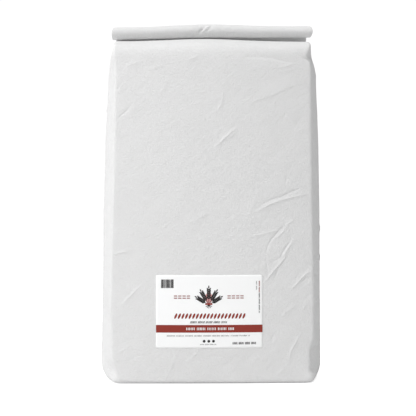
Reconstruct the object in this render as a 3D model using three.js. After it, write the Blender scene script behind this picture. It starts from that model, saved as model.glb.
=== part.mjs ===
// A full paper bag of flour, standing on its base: a gusseted bag whose spare length is rolled down
// towards the front, with a stuck-on label low on the front panel.
// Millimetres. +Z up, the front panel faces -Y, and the origin is the middle of the base.
import * as THREE from "three";
import { LoftGeometry } from "three/addons/geometries/LoftGeometry.js";

// Driving dimensions of the filled bag
const PANEL_HALF_WIDTH = 141; // front and back panels are about 280 wide
const PANEL_SPREAD = 2.7; // more on each side, once the bag is clear of its rounded base
const PANEL_NARROWING = 6.5; // on each side, from the base to the shoulder
const CREASE_HALF_DEPTH = 67; // the 140 gusset, once its contents have bulged it
const PANEL_CROWN = 12; // how far the panels swell beyond their side creases
const SIDE_BULGE = { low: 18.3, middle: 19.7, high: 16.3 }; // the same for the gussets
const BULGE_SKEW = 1.3; // the right gusset stands out this much more, and the left one less
const SHOULDER_Z = 446; // the bag is full up to here
const SIDE_SHOULDER_Z = 438; // the gussets turn inwards a little lower
const RIDGE_Z = 487.7; // the roof meets the neck here
const FLARE = 1.8; // the creases spread again by this from the shoulder to the ridge
const LEDGE_DEPTH = 16; // front fold of the roof, in front of the neck
const CREASE_ROUNDING = 4.5;

// Base
const BASE_CROWN = 3;
const BASE_ROUND_HEIGHT = 26;
const BASE_FRONT_ROUND_HEIGHT = 5;
const BASE_FRONT_INSET = 22; // the panels curve in under the bag by this much
const BASE_FRONT_SKEW = 0.4; // the left end of the base is drawn in more than the right
const BASE_CREASE_INSET = 5;
const BASE_BULGE_LOSS = 12;
const BASE_CORNER_ROUNDING = 12;
const BASE_PINCH = 5; // the front creases are drawn in by this just above the base corners
const BASE_CORNER_SPREAD = 2; // below that, the right front corner spreads by this

// Gusset pleats under the ridge
const PLEAT_DEPTH = 55;
const PLEAT_REACH = { low: 0.4, high: 0.8 }; // share of the half gusset that is folded inwards
const RIGHT_PINCH = 2.5; // the right front crease is drawn in here, beside the pleat
const PINCH_Z = 468;
const SHOULDER_PINCH = 4; // and here, just above the shoulder
const SHOULDER_PINCH_Z = 459;

// Rolled top: the flattened layers are one band that winds forward
const BAND_HALF_THICKNESS = 1.2;
const BAND_PITCH = 2.75;
const ROLL_RADIUS = 9.9;
const ROLL_Z = 500.9;
const ROLL_TURNS = 2.1;
const NECK_HALF_WIDTH = 138;
const ROLL_END_DOME = 6.8; // the middle of each roll end stands out this far past the neck

// Uneven set of the top, as it was closed by hand
const TOP_RISE = { height: 3.5, x: -10, reach: 68 }; // the middle of ridge and roll stands higher
const UNDERSIDE_RISE = 0.3; // share of that rise at the underside of the roll
const RIDGE_TILT = 1.0; // the ridge's right end is this much higher than its left end
const ROLL_TILT = 3.8;
const UNDERSIDE_TILT = 5.8;
const UNDERSIDE_DROP = 0.12; // share by which the roll's lower half is taller than its upper half
const ROLL_PRESS = { depth: 1.5, turn: 3.95, reach: 0.7 }; // the roll is flattened below its front
const LEAN = 2; // of the top, to the right
const ROLL_LEAN = 1.7;
const SHOULDER_SWAY = 1.5; // of the shoulder, back to the left

// Label
const LABEL = { x: -4.75, z: 102.8, width: 149, height: 102, gap: 0.45, thickness: 0.4 };

// Fineness of the surfaces
const PANEL_CELLS = 16;
const BACK_CELLS = 12;
const CREASE_CELLS = 2;
const GUSSET_CELLS = 10;
const PLEAT_CELL_SHARE = 0.4; // share of the gusset's cells that lie inside the pleat
const BASE_STEPS = 6;
const BODY_STEPS = 18;
const ROOF_STEPS = 12;
const LEDGE_STEPS = 2;
const STEPS_PER_TURN = 14;

const { clamp, lerp, smoothstep } = THREE.MathUtils;

// Share by which a quarter-round edge of this height is drawn in at height z
function roundingShare(z, height) {
  const t = Math.min(z / height, 1);
  return 1 - Math.sqrt(1 - (1 - t) ** 2);
}

// A bump of height 1 at this centre
function bump(value, centre, reach) {
  return Math.exp(-(((value - centre) / reach) ** 2));
}

// How far the panel has spread from its width at the base, from 0 to 1
function spreadShare(z) {
  return smoothstep(z, 10, 130);
}

// Half the distance between the side creases
function creaseHalfWidth(z) {
  const narrowing = PANEL_NARROWING * smoothstep(z, 0, 440);
  const flare = FLARE * smoothstep(z, SHOULDER_Z, RIDGE_Z);
  const inset = BASE_CREASE_INSET * roundingShare(z, BASE_ROUND_HEIGHT);
  return PANEL_HALF_WIDTH + PANEL_SPREAD * spreadShare(z) - narrowing + flare - inset;
}

// Falls from 1 to 0 as the gussets turn inwards below the ridge
function gussetShare(z) {
  return 1 - clamp((z - SIDE_SHOULDER_Z) / (RIDGE_Z - SIDE_SHOULDER_Z), 0, 1);
}

function sideBulge(z) {
  const full = lerp(
    lerp(SIDE_BULGE.low, SIDE_BULGE.middle, smoothstep(z, 100, 260)),
    SIDE_BULGE.high,
    smoothstep(z, 330, SHOULDER_Z),
  );
  const loss = BASE_BULGE_LOSS * roundingShare(z, BASE_ROUND_HEIGHT);
  return (full - PANEL_SPREAD * spreadShare(z)) * gussetShare(z) - loss;
}

// How far the right front crease is drawn in at height z
function rightPinch(z) {
  const lower = lerp(-BASE_CORNER_SPREAD, BASE_PINCH, smoothstep(z, 9, 19));
  const upper = RIGHT_PINCH * bump(z, PINCH_Z, 9) + SHOULDER_PINCH * bump(z, SHOULDER_PINCH_Z, 6);
  return lower * (1 - smoothstep(z, 48, 64)) + upper;
}

// Sizes of the bag's level section at height z, from the base to the ridge
function bodySection(z) {
  const roof = clamp((z - SHOULDER_Z) / (RIDGE_Z - SHOULDER_Z), 0, 1);
  const inset = BASE_FRONT_INSET * roundingShare(z, BASE_FRONT_ROUND_HEIGHT);
  const swell = lerp(BASE_CROWN, PANEL_CROWN, Math.sin((Math.PI / 2) * Math.min(z / 110, 1)));
  const cornerShare = roundingShare(z, 1.4 * BASE_ROUND_HEIGHT);
  const opening = smoothstep(z, SHOULDER_Z + 2, SHOULDER_Z + 30);
  const closing = smoothstep(z, RIDGE_Z - 8, RIDGE_Z);
  return {
    centreY: 0,
    centreZ: z,
    turn: 0,
    front: lerp(CREASE_HALF_DEPTH, LEDGE_DEPTH, roof ** 6) - inset,
    back: lerp(CREASE_HALF_DEPTH, BAND_HALF_THICKNESS, roof ** 3) - inset,
    frontSkew: BASE_FRONT_SKEW * inset,
    crown: swell * (1 - roof ** 3),
    halfWidth: creaseHalfWidth(z),
    bulge: sideBulge(z),
    bulgeSkew: BULGE_SKEW * spreadShare(z) * gussetShare(z),
    bulgePower: lerp(2, 4, smoothstep(z, SHOULDER_Z - 10, SHOULDER_Z + 20)),
    pleat: PLEAT_DEPTH * opening * (1 - closing),
    pleatReach: lerp(PLEAT_REACH.low, PLEAT_REACH.high, smoothstep(z, SHOULDER_Z, SHOULDER_Z + 34)),
    pinch: { right: rightPinch(z), left: BASE_PINCH * bump(z, 18, 12) },
    rounding: lerp(CREASE_ROUNDING, BASE_CORNER_ROUNDING, cornerShare),
    rise: smoothstep(z, SHOULDER_Z - 20, RIDGE_Z),
    tilt: RIDGE_TILT * smoothstep(z, SHOULDER_Z, RIDGE_Z),
    lean:
      LEAN * Math.min(z / 440, 1) - BULGE_SKEW * spreadShare(z) - SHOULDER_SWAY * bump(z, 460, 12),
  };
}

// Sizes of the flattened band where it leaves the roof and winds into the roll. Its front side
// faces the roll's middle. turn is in radians, 0 at the top of the neck.
function bandSection(turn, centreY, centreZ, halfWidth) {
  const share = smoothstep(centreZ, RIDGE_Z, ROLL_Z);
  const height = (centreZ - ROLL_Z) / ROLL_RADIUS; // -1 at the roll's underside, 1 at its top
  const windTilt = lerp(UNDERSIDE_TILT, ROLL_TILT, clamp(1 + height, 0, 1));
  return {
    centreY,
    centreZ,
    turn,
    front: BAND_HALF_THICKNESS,
    back: BAND_HALF_THICKNESS,
    frontSkew: 0,
    crown: 0,
    halfWidth,
    bulge: 0.8,
    bulgeSkew: 0,
    bulgePower: 2,
    pleat: 0,
    pleatReach: PLEAT_REACH.high,
    pinch: { right: 0, left: 0 },
    rounding: BAND_HALF_THICKNESS / 2,
    rise: turn === 0 ? 1 : lerp(UNDERSIDE_RISE, 1, 0.55 + 0.6 * height),
    tilt: turn === 0 ? lerp(RIDGE_TILT, ROLL_TILT, share) : windTilt,
    lean: lerp(LEAN - BULGE_SKEW, ROLL_LEAN, share),
  };
}

// One point on the front or back of a section; along runs from -1 to 1, anticlockwise from above
function panelPoint(section, side, along) {
  const swell = section.crown * (1 - along ** 2);
  if (side === "back") {
    return new THREE.Vector2(-along * section.halfWidth, section.back + swell);
  }
  const pinch =
    section.pinch.right * smoothstep(along, 0.8, 1) - section.pinch.left * smoothstep(-along, 0.8, 1);
  const depth = section.front + section.frontSkew * along + swell;
  return new THREE.Vector2(along * section.halfWidth - pinch, -depth);
}

// One point on the right or left gusset of a section
function gussetPoint(section, side, along) {
  const outwards = side === "right" ? 1 : -1;
  const frontDepth = section.front + outwards * section.frontSkew;
  const y = outwards * along * (outwards * along < 0 ? frontDepth : section.back);
  const fullBulge = section.bulge + outwards * section.bulgeSkew;
  const bulge = fullBulge * (1 - Math.abs(along) ** section.bulgePower);
  const pleat = section.pleat * Math.max(0, 1 - Math.abs(along) / section.pleatReach);
  const pinch = section.pinch[side] * smoothstep(-outwards * along, 0.4, 1);
  return new THREE.Vector2(outwards * (section.halfWidth + bulge - pleat - pinch), y);
}

const LOOP = [
  { side: "front", cells: PANEL_CELLS, pointAt: panelPoint },
  { side: "right", cells: GUSSET_CELLS, pointAt: gussetPoint },
  { side: "back", cells: BACK_CELLS, pointAt: panelPoint },
  { side: "left", cells: GUSSET_CELLS, pointAt: gussetPoint },
];

// Where along a side each column of points stands. A gusset's columns follow the edge of its pleat.
function columnPlace(section, { side, cells }, cell) {
  const even = (2 * cell) / cells - 1;
  if (side === "front" || side === "back") {
    return even;
  }
  const inside = Math.abs(even) / PLEAT_CELL_SHARE;
  const outside = (Math.abs(even) - PLEAT_CELL_SHARE) / (1 - PLEAT_CELL_SHARE);
  const reach = section.pleatReach;
  return Math.sign(even) * (inside <= 1 ? inside * reach : lerp(reach, 1, outside));
}

// The share of a side that stays clear of its rounded creases
function clearShare(section, { side }) {
  const isPanel = side === "front" || side === "back";
  const halfLength = isPanel ? section.halfWidth : (section.front + section.back) / 2;
  return 1 - section.rounding / halfLength;
}

// The whole loop of one section, anticlockwise from above
function sectionLoop(section) {
  const points = LOOP.flatMap((part, i) => {
    const next = LOOP[(i + 1) % LOOP.length];
    const clear = clearShare(section, part);
    const onSide = Array.from({ length: part.cells }, (_, cell) =>
      part.pointAt(section, part.side, clear * columnPlace(section, part, cell)),
    );
    const crease = new THREE.QuadraticBezierCurve(
      part.pointAt(section, part.side, clear),
      part.pointAt(section, part.side, 1),
      next.pointAt(section, next.side, -clearShare(section, next)),
    );
    return [...onSide, ...crease.getPoints(CREASE_CELLS).slice(0, -1)];
  });
  return points.map((point) => placed(section, point));
}

// Puts a section's point in the bag's frame. The section's own y is its front-to-back direction,
// which turns about X as the band winds.
function placed(section, { x, y }) {
  const rise = TOP_RISE.height * bump(x, TOP_RISE.x, TOP_RISE.reach) * section.rise;
  const tilt = (section.tilt * x) / (2 * NECK_HALF_WIDTH);
  return new THREE.Vector3(
    x + section.lean,
    section.centreY + y * Math.cos(section.turn),
    section.centreZ + y * Math.sin(section.turn) + rise + tilt,
  );
}

function bodySections() {
  const baseHeights = Array.from({ length: BASE_STEPS + 1 }, (_, i) => {
    return BASE_ROUND_HEIGHT * (1 - Math.cos((Math.PI / 2) * (i / BASE_STEPS)));
  });
  const bodyHeights = Array.from({ length: BODY_STEPS }, (_, i) => {
    return lerp(BASE_ROUND_HEIGHT, SHOULDER_Z, (i + 1) / BODY_STEPS);
  });
  const roofHeights = Array.from({ length: ROOF_STEPS }, (_, i) => {
    return lerp(SHOULDER_Z, RIDGE_Z, Math.sin(((Math.PI / 2) * (i + 1)) / ROOF_STEPS));
  });
  return [...baseHeights, ...bodyHeights, ...roofHeights].map(bodySection);
}

// The narrow, nearly level strip between the roof's front fold and the neck
function ledgeSections() {
  const ridge = bodySection(RIDGE_Z);
  return Array.from({ length: LEDGE_STEPS }, (_, i) => {
    const t = (i + 1) / LEDGE_STEPS;
    return {
      ...ridge,
      centreZ: RIDGE_Z + 1.2 * t,
      front: lerp(ridge.front, BAND_HALF_THICKNESS, t),
      halfWidth: lerp(ridge.halfWidth, NECK_HALF_WIDTH, t),
      rounding: lerp(CREASE_ROUNDING, BAND_HALF_THICKNESS, t) / 2,
    };
  });
}

function rollSections() {
  const startRadius = ROLL_RADIUS - BAND_HALF_THICKNESS;
  const neck = bandSection(0, 0, (RIDGE_Z + ROLL_Z) / 2, NECK_HALF_WIDTH);
  const steps = Math.round(ROLL_TURNS * STEPS_PER_TURN);
  const wound = Array.from({ length: steps + 1 }, (_, i) => {
    const turn = 2 * Math.PI * (i / STEPS_PER_TURN);
    const press = ROLL_PRESS.depth * bump(turn % (2 * Math.PI), ROLL_PRESS.turn, ROLL_PRESS.reach);
    const radius = startRadius - BAND_PITCH * (i / STEPS_PER_TURN) - press;
    const height = radius * Math.sin(turn);
    const dome = Math.sqrt(1 - (height / ROLL_RADIUS) ** 2) * smoothstep(turn, 0, Math.PI / 2);
    const halfWidth = NECK_HALF_WIDTH + ROLL_END_DOME * dome;
    const centreZ = ROLL_Z + height * (height < 0 ? 1 + UNDERSIDE_DROP : 1);
    return bandSection(turn, radius * Math.cos(turn) - startRadius, centreZ, halfWidth);
  });
  return [neck, ...wound];
}

function bagGeometry() {
  const sections = [...bodySections(), ...ledgeSections(), ...rollSections()];
  return new LoftGeometry(sections.map(sectionLoop), { capStart: true, capEnd: true });
}

// The front panel's surface at this x and height
function frontSurface(x, z) {
  const section = bodySection(z);
  return placed(section, panelPoint(section, "front", x / section.halfWidth));
}

// A thin sheet that follows the front panel at a small gap
function labelGeometry() {
  const rows = 8;
  const columns = 10;
  const loops = Array.from({ length: rows + 1 }, (_, row) => {
    const z = LABEL.z + LABEL.height * (row / rows - 0.5);
    const across = Array.from({ length: columns + 1 }, (_, column) =>
      frontSurface(LABEL.x + LABEL.width * (column / columns - 0.5), z),
    );
    const outer = across.map((point) => point.clone().setY(point.y - LABEL.gap - LABEL.thickness));
    const inner = across.map((point) => point.clone().setY(point.y - LABEL.gap));
    return [...outer, ...inner.reverse()];
  });
  return new LoftGeometry(loops, { capStart: true, capEnd: true });
}

function namedMesh(name, geometry, material) {
  const mesh = new THREE.Mesh(geometry, material);
  mesh.name = name;
  return mesh;
}

const paper = new THREE.MeshStandardMaterial({ color: 0xdedede, roughness: 0.85, metalness: 0 });
const labelStock = new THREE.MeshStandardMaterial({ color: 0xf4f5f5, roughness: 0.55, metalness: 0 });

const flourBag = new THREE.Group();
flourBag.add(namedMesh("bag", bagGeometry(), paper));
flourBag.add(namedMesh("label", labelGeometry(), labelStock));

export default flourBag;
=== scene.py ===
"""A filled paper bag of flour with a rolled top and a printed label, dressed over its CAD frame."""

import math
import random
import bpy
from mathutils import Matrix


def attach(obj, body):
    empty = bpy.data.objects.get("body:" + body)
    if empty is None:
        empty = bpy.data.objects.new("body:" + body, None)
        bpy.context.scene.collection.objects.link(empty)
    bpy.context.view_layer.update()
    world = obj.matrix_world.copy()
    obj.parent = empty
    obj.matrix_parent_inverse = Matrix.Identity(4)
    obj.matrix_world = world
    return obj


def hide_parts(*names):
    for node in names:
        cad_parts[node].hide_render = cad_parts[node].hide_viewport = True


bl_info = {
    "name": "Flour bag",
    "version": (1, 0, 0),
    "blender": (4, 5, 0),
    "location": "View3D > Sidebar > Flour bag",
    "description": "Makes a filled paper bag of flour, its printed label and a studio to show it in",
    "category": "Add Mesh",
}

from dataclasses import dataclass, replace

import bmesh
import bpy
import numpy as np
from mathutils import Vector
from mathutils.bvhtree import BVHTree

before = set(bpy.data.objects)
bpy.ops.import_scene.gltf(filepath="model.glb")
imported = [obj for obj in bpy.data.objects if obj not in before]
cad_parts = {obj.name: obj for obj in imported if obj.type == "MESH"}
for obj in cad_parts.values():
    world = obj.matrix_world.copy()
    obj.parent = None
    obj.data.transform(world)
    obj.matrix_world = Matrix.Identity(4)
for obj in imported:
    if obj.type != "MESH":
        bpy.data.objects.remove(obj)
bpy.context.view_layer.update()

MM = 0.001

# The form of the filled bag, in millimetres. Its values are those of the solid that it covers, apart from
# the sharper creases, and the flaps and the lap seam, which the solid does without.
PANEL_HALF_WIDTH = 141.0  # front and back panels are about 280 wide
PANEL_SPREAD = 2.7  # more on each side, once the bag is clear of its rounded base
PANEL_NARROWING = 6.5  # on each side, from the base to the shoulder
CREASE_HALF_DEPTH = 67.0  # the 140 gusset, once its contents have bulged it
PANEL_CROWN = 12.0  # how far the panels swell beyond their side creases
SIDE_BULGE_LOW = 18.3  # how far a gusset stands out low down, at the middle and high up
SIDE_BULGE_MIDDLE = 19.7
SIDE_BULGE_HIGH = 16.3
BULGE_SKEW = 1.3  # the right gusset stands out this much more, and the left one less
SHOULDER_Z = 446.0  # the bag is full up to here
SIDE_SHOULDER_Z = 438.0  # the gussets turn inwards a little lower
RIDGE_Z = 487.7  # the roof meets the neck here
FLARE = 1.8  # the creases spread again by this from the shoulder to the ridge
LEDGE_DEPTH = 16.0  # front fold of the roof, in front of the neck
LEDGE_RISE = 1.2
CREASE_ROUNDING = 2.8  # thin paper folds more sharply than the solid's 4.5

BASE_CROWN = 3.0
BASE_ROUND_HEIGHT = 26.0
BASE_FRONT_ROUND_HEIGHT = 5.0
BASE_FRONT_INSET = 22.0  # the panels curve in under the bag by this much
BASE_FRONT_SKEW = 0.4  # the left end of the base is drawn in more than the right
BASE_CREASE_INSET = 5.0
BASE_BULGE_LOSS = 12.0
BASE_CORNER_ROUNDING = 12.0
BASE_PINCH = 5.0  # the front creases are drawn in by this just above the base corners
BASE_CORNER_SPREAD = 2.0  # below that, the right front corner spreads by this
FLAP_THICKNESS = 0.12
BASE_LIFT = 3 * FLAP_THICKNESS  # the bag's own floor stands on three layers of pasted flaps

PLEAT_DEPTH = 55.0
PLEAT_REACH_LOW = 0.4  # share of the gusset that the pleat takes in, at its foot and further up
PLEAT_REACH_HIGH = 0.8
PLEAT_COLUMN_SHARE = 0.4  # share of the gusset's columns that lie inside the pleat
RIGHT_PINCH = 2.5  # the right front crease is drawn in here, beside the pleat
PINCH_Z = 468.0
SHOULDER_PINCH = 4.0  # and here, just above the shoulder
SHOULDER_PINCH_Z = 459.0

BAND_HALF_THICKNESS = 1.2  # of the flattened top, which is wound into the roll
BAND_PITCH = 2.75  # how much nearer the roll's axis each turn of the band lies
ROLL_RADIUS = 9.9
ROLL_Z = 500.9
ROLL_TURNS = 2.1
NECK_HALF_WIDTH = 138.0
ROLL_END_DOME = 6.8  # the middle of each roll end stands out this far past the neck

TOP_RISE = 3.5  # the roll rises by this a little left of its middle
TOP_RISE_X = -10.0
TOP_RISE_REACH = 68.0
UNDERSIDE_RISE = 0.3  # share of that rise at the underside of the roll
RIDGE_TILT = 1.0  # the right end stands this much higher than the left
ROLL_TILT = 3.8
UNDERSIDE_TILT = 5.8
UNDERSIDE_DROP = 0.12  # share by which the roll's lower half is taller than its upper half
ROLL_PRESS_DEPTH = 1.5  # the roll is flattened below its front
ROLL_PRESS_TURN = 3.95  # the place of that, and its reach, in radians round the roll
ROLL_PRESS_REACH = 0.7
LEAN = 2.0  # of the top, to the right
ROLL_LEAN = 1.7
SHOULDER_SWAY = 1.5  # of the shoulder, back to the left

LAP_SEAM_X = 6.0  # the glued lap up the middle of the back
LAP_SEAM_WIDTH = 26.0
LAP_SEAM_STEP = 0.45

GUSSET_VALLEY_REACH = 7.0  # a soft valley runs up the middle of each gusset
GUSSET_VALLEY_DEPTH = 0.7

# How finely the paper is divided, round the bag and up it, besides what the user sets
GUSSET_COLUMNS = 20
BACK_COLUMNS = 52
CREASE_COLUMNS = 4
BASE_ROWS = 12
ROOF_ROWS = 26
LEDGE_ROWS = 3
ROLL_ROWS_PER_TURN = 24

FOLD_REACH = 4.5  # how far from a fold's line the surface is worked in detail
FACING_START = 0.25  # a side's folds start where the paper faces that side this squarely
FACING_WHOLE = 0.7  # and are whole from here on
OUTER_WINDING = (5.6, 6.4)  # between these distances from the roll's axis its outer winding begins
LABEL_HOLD = 0.9  # the share by which the stuck label flattens the folds and ripples under it

LABEL_CENTRE_X = -5.45
LABEL_CENTRE_Z = 102.8
LABEL_COLUMNS = 60
LABEL_ROWS = 42
LABEL_FRONT_GAP = 0.38  # how far the label's faces stand off the paper
LABEL_BACK_GAP = 0.08
LABEL_CORNER_CUT = 0.48


def smoothstep(value, low, high):
    """Eases from 0 at low to 1 at high, for a number or an array."""
    t = np.clip((value - low) / (high - low), 0.0, 1.0)
    return t * t * (3.0 - 2.0 * t)


def lerp(start, end, share):
    """The value this share of the way from start to end."""
    return start + (end - start) * share


def bump(value, centre, reach):
    """A smooth bump of height 1 at centre."""
    return np.exp(-(((value - centre) / reach) ** 2))


def rounding_share(z, height):
    """Share by which a quarter-round edge of this height is drawn in at height z."""
    t = min(z / height, 1.0)
    return 1.0 - math.sqrt(1.0 - (1.0 - t) ** 2)


@dataclass(frozen=True)
class Section:
    """Sizes of one loop round the bag, in millimetres."""

    centre_y: float
    centre_z: float
    turn: float
    front: float
    back: float
    front_skew: float
    crown: float
    half_width: float
    bulge: float
    bulge_skew: float
    bulge_power: float
    pleat: float
    pleat_reach: float
    right_pinch: float
    left_pinch: float
    rounding: float
    rise: float
    tilt: float
    lean: float


def spread_share(z):
    """How far the panel has spread from its width at the base, from 0 to 1."""
    return smoothstep(z, 10, 130)


def crease_half_width(z):
    """Half the distance between the side creases."""
    narrowing = PANEL_NARROWING * smoothstep(z, 0, 440)
    flare = FLARE * smoothstep(z, SHOULDER_Z, RIDGE_Z)
    inset = BASE_CREASE_INSET * rounding_share(z, BASE_ROUND_HEIGHT)
    return PANEL_HALF_WIDTH + PANEL_SPREAD * spread_share(z) - narrowing + flare - inset


def gusset_share(z):
    """Falls from 1 to 0 as the gussets turn inwards below the ridge."""
    return 1 - np.clip((z - SIDE_SHOULDER_Z) / (RIDGE_Z - SIDE_SHOULDER_Z), 0, 1)


def side_bulge(z):
    """How far a gusset stands out past its creases."""
    lower = lerp(SIDE_BULGE_LOW, SIDE_BULGE_MIDDLE, smoothstep(z, 100, 260))
    full = lerp(lower, SIDE_BULGE_HIGH, smoothstep(z, 330, SHOULDER_Z))
    loss = BASE_BULGE_LOSS * rounding_share(z, BASE_ROUND_HEIGHT)
    return (full - PANEL_SPREAD * spread_share(z)) * gusset_share(z) - loss


def right_pinch(z):
    """How far the right front crease is drawn in at height z."""
    lower = lerp(-BASE_CORNER_SPREAD, BASE_PINCH, smoothstep(z, 9, 19)) * (1 - smoothstep(z, 48, 64))
    upper = RIGHT_PINCH * bump(z, PINCH_Z, 9) + SHOULDER_PINCH * bump(z, SHOULDER_PINCH_Z, 6)
    return lower + upper


def body_section(z):
    """The bag's level section at height z, from the base to the ridge."""
    roof = float(np.clip((z - SHOULDER_Z) / (RIDGE_Z - SHOULDER_Z), 0, 1))
    inset = BASE_FRONT_INSET * rounding_share(z, BASE_FRONT_ROUND_HEIGHT)
    swell = lerp(BASE_CROWN, PANEL_CROWN, math.sin((math.pi / 2) * min(z / 110, 1)))
    corner_share = rounding_share(z, 1.4 * BASE_ROUND_HEIGHT)
    opening = smoothstep(z, SHOULDER_Z + 2, SHOULDER_Z + 30)
    closing = smoothstep(z, RIDGE_Z - 8, RIDGE_Z)
    reach_share = smoothstep(z, SHOULDER_Z, SHOULDER_Z + 34)
    return Section(
        centre_y=0.0,
        centre_z=z,
        turn=0.0,
        front=lerp(CREASE_HALF_DEPTH, LEDGE_DEPTH, roof**6) - inset,
        back=lerp(CREASE_HALF_DEPTH, BAND_HALF_THICKNESS, roof**3) - inset,
        front_skew=BASE_FRONT_SKEW * inset,
        crown=swell * (1 - roof**3),
        half_width=crease_half_width(z),
        bulge=side_bulge(z),
        bulge_skew=BULGE_SKEW * spread_share(z) * gusset_share(z),
        bulge_power=lerp(2, 4, smoothstep(z, SHOULDER_Z - 10, SHOULDER_Z + 20)),
        pleat=PLEAT_DEPTH * opening * (1 - closing),
        pleat_reach=lerp(PLEAT_REACH_LOW, PLEAT_REACH_HIGH, reach_share),
        right_pinch=right_pinch(z),
        left_pinch=BASE_PINCH * bump(z, 18, 12),
        rounding=lerp(CREASE_ROUNDING, BASE_CORNER_ROUNDING, corner_share),
        rise=smoothstep(z, SHOULDER_Z - 20, RIDGE_Z),
        tilt=RIDGE_TILT * smoothstep(z, SHOULDER_Z, RIDGE_Z),
        lean=LEAN * min(z / 440, 1) - BULGE_SKEW * spread_share(z) - SHOULDER_SWAY * bump(z, 460, 12),
    )


def band_section(turn, centre_y, centre_z, half_width):
    """The flattened band on the neck and in the roll. Its front side faces the roll's middle."""
    share = smoothstep(centre_z, RIDGE_Z, ROLL_Z)
    height = (centre_z - ROLL_Z) / ROLL_RADIUS
    wind_tilt = lerp(UNDERSIDE_TILT, ROLL_TILT, float(np.clip(1 + height, 0, 1)))
    return Section(
        centre_y=centre_y,
        centre_z=centre_z,
        turn=turn,
        front=BAND_HALF_THICKNESS,
        back=BAND_HALF_THICKNESS,
        front_skew=0.0,
        crown=0.0,
        half_width=half_width,
        bulge=0.8,
        bulge_skew=0.0,
        bulge_power=2.0,
        pleat=0.0,
        pleat_reach=PLEAT_REACH_HIGH,
        right_pinch=0.0,
        left_pinch=0.0,
        rounding=BAND_HALF_THICKNESS / 2,
        rise=1.0 if turn == 0 else lerp(UNDERSIDE_RISE, 1, 0.55 + 0.6 * height),
        tilt=lerp(RIDGE_TILT, ROLL_TILT, share) if turn == 0 else wind_tilt,
        lean=lerp(LEAN - BULGE_SKEW, ROLL_LEAN, share),
    )


def panel_points(section, side, along):
    """Points on the front or back of a section; along runs from -1 to 1, anticlockwise from above."""
    swell = section.crown * (1 - along**2)
    if side == "back":
        return np.stack([-along * section.half_width, section.back + swell], axis=-1)
    at_right = section.right_pinch * smoothstep(along, 0.8, 1)
    pinch = at_right - section.left_pinch * smoothstep(-along, 0.8, 1)
    depth = section.front + section.front_skew * along + swell
    return np.stack([along * section.half_width - pinch, -depth], axis=-1)


def gusset_points(section, side, along):
    """Points on the right or left gusset of a section."""
    outwards = 1 if side == "right" else -1
    front_depth = section.front + outwards * section.front_skew
    y = outwards * along * np.where(outwards * along < 0, front_depth, section.back)
    full_bulge = section.bulge + outwards * section.bulge_skew
    bulge = full_bulge * (1 - np.abs(along) ** section.bulge_power)
    pleat = section.pleat * np.maximum(0, 1 - np.abs(along) / section.pleat_reach)
    pinch = section.right_pinch if side == "right" else section.left_pinch
    drawn_in = pleat + pinch * smoothstep(-outwards * along, 0.4, 1)
    return np.stack([outwards * (section.half_width + bulge - drawn_in), y], axis=-1)


def side_points(section, side, along):
    """Points on any side of a section."""
    make = panel_points if side in ("front", "back") else gusset_points
    return make(section, side, np.asarray(along, float))


def clear_share(section, side):
    """The share of a side that stays clear of its rounded creases."""
    if side in ("front", "back"):
        return 1 - section.rounding / section.half_width
    return 1 - section.rounding / ((section.front + section.back) / 2)


def placed(section, points):
    """Puts a section's points in the bag's frame, in millimetres."""
    x, y = points[:, 0], points[:, 1]
    rise = TOP_RISE * bump(x, TOP_RISE_X, TOP_RISE_REACH) * section.rise
    tilt = section.tilt * x / (2 * NECK_HALF_WIDTH)
    return np.stack(
        [
            x + section.lean,
            section.centre_y + y * math.cos(section.turn),
            section.centre_z + y * math.sin(section.turn) + rise + tilt,
        ],
        axis=-1,
    )


def even_places(cells):
    """Evenly spaced places along a side, from its first crease, without its last."""
    return -1 + 2 * np.arange(cells) / cells


def back_places(cells):
    """Places along the back, with a close pair at each edge of the lap seam."""
    edges = [LAP_SEAM_X, LAP_SEAM_X + LAP_SEAM_WIDTH]
    pairs = [-(edge + step) / PANEL_HALF_WIDTH for edge in edges for step in (-0.4, 0.4)]
    even = [p for p in even_places(cells) if min(abs(p - q) for q in pairs) > 0.4 / cells]
    return np.sort(np.concatenate([even, pairs]))


def gusset_places(section, even):
    """Moves a gusset's even places so that its columns follow the edge of the pleat."""
    size = np.abs(even)
    inside = size / PLEAT_COLUMN_SHARE * section.pleat_reach
    outside_share = (size - PLEAT_COLUMN_SHARE) / (1 - PLEAT_COLUMN_SHARE)
    outside = lerp(section.pleat_reach, 1, outside_share)
    return np.sign(even) * np.where(size <= PLEAT_COLUMN_SHARE, inside, outside)


def section_loop(section, places, crease_cells):
    """The whole loop of one section, anticlockwise from above, in millimetres."""
    sides = list(places)
    points = []
    for side, following in zip(sides, sides[1:] + sides[:1]):
        along = places[side]
        if side in ("right", "left"):
            along = gusset_places(section, along)
        clear = clear_share(section, side)
        points.append(side_points(section, side, clear * along))
        start = side_points(section, side, [clear])
        corner = side_points(section, side, [1.0])
        end = side_points(section, following, [-clear_share(section, following)])
        t = (np.arange(crease_cells) / crease_cells)[:, None]
        points.append((1 - t) ** 2 * start + 2 * t * (1 - t) * corner + t**2 * end)
    return placed(section, np.concatenate(points))


def body_sections(base_rows, body_rows, roof_rows):
    """Level sections from the base to the ridge."""
    turns = [math.pi / 2 * i / base_rows for i in range(base_rows + 1)]
    base = [max(BASE_ROUND_HEIGHT * (1 - math.cos(turn)), BASE_LIFT) for turn in turns]
    body = [lerp(BASE_ROUND_HEIGHT, SHOULDER_Z, (i + 1) / body_rows) for i in range(body_rows)]
    turns = [math.pi / 2 * (i + 1) / roof_rows for i in range(roof_rows)]
    roof = [lerp(SHOULDER_Z, RIDGE_Z, math.sin(turn)) for turn in turns]
    return [body_section(z) for z in base + body + roof]


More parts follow.
